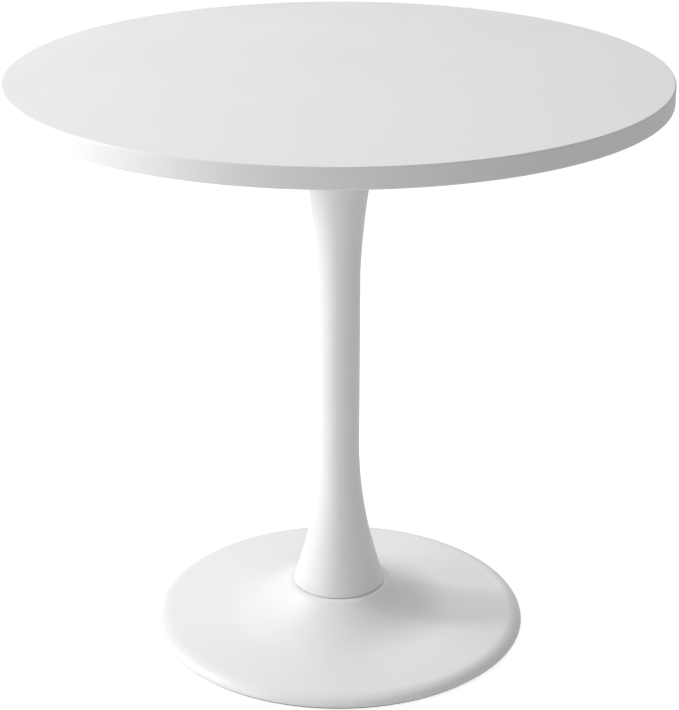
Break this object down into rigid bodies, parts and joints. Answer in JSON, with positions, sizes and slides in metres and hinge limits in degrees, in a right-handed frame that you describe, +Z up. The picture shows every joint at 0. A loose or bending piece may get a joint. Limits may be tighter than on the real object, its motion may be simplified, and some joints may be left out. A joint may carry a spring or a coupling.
{
  "type": "round pedestal table",
  "caption": "Round table: a flat lacquered top on a flared trumpet column, standing on a domed round base with a steel weight inside.",
  "frame": {"origin": "on the floor at the centre of the base", "axes": "+Z up along the column, +X and +Y level"},
  "size_m": [0.8, 0.8, 0.737],
  "materials": {
    "white_lacquer": "satin white lacquer on fibreboard",
    "white_powder_coat": "satin white powder coat",
    "raw_steel": "oiled mill finish",
    "black_paint": "matt black primer",
    "zinc": "bright zinc plate",
    "insert_metal": "yellow zinc",
    "black_rubber": "matt"
  },
  "bodies": {
    "root": {"tabletop": "white_lacquer", "threaded_insert_1": "insert_metal", "threaded_insert_2": "insert_metal", "threaded_insert_3": "insert_metal", "threaded_insert_4": "insert_metal", "threaded_insert_5": "insert_metal", "threaded_insert_6": "insert_metal", "top_plate": "white_powder_coat", "tabletop_screw_1": "zinc", "tabletop_screw_2": "zinc", "tabletop_screw_3": "zinc", "tabletop_screw_4": "zinc", "tabletop_screw_5": "zinc", "tabletop_screw_6": "zinc", "plate_bolt_1": "zinc", "plate_bolt_2": "zinc", "plate_bolt_3": "zinc", "plate_bolt_4": "zinc", "column_top_flange": "raw_steel", "column_shell": "white_powder_coat", "column_bottom_flange": "raw_steel", "base_cover": "white_powder_coat", "base_hub": "raw_steel", "ballast_disc": "black_paint", "ballast_screw_1": "zinc", "ballast_screw_2": "zinc", "ballast_screw_3": "zinc", "ballast_screw_4": "zinc", "base_bolt_1": "zinc", "base_bolt_2": "zinc", "base_bolt_3": "zinc", "base_bolt_4": "zinc", "spring_washer_1": "zinc", "spring_washer_2": "zinc", "spring_washer_3": "zinc", "spring_washer_4": "zinc", "flat_washer_1": "zinc", "flat_washer_2": "zinc", "flat_washer_3": "zinc", "flat_washer_4": "zinc", "floor_ring": "black_rubber"}
  },
  "joints": []
}
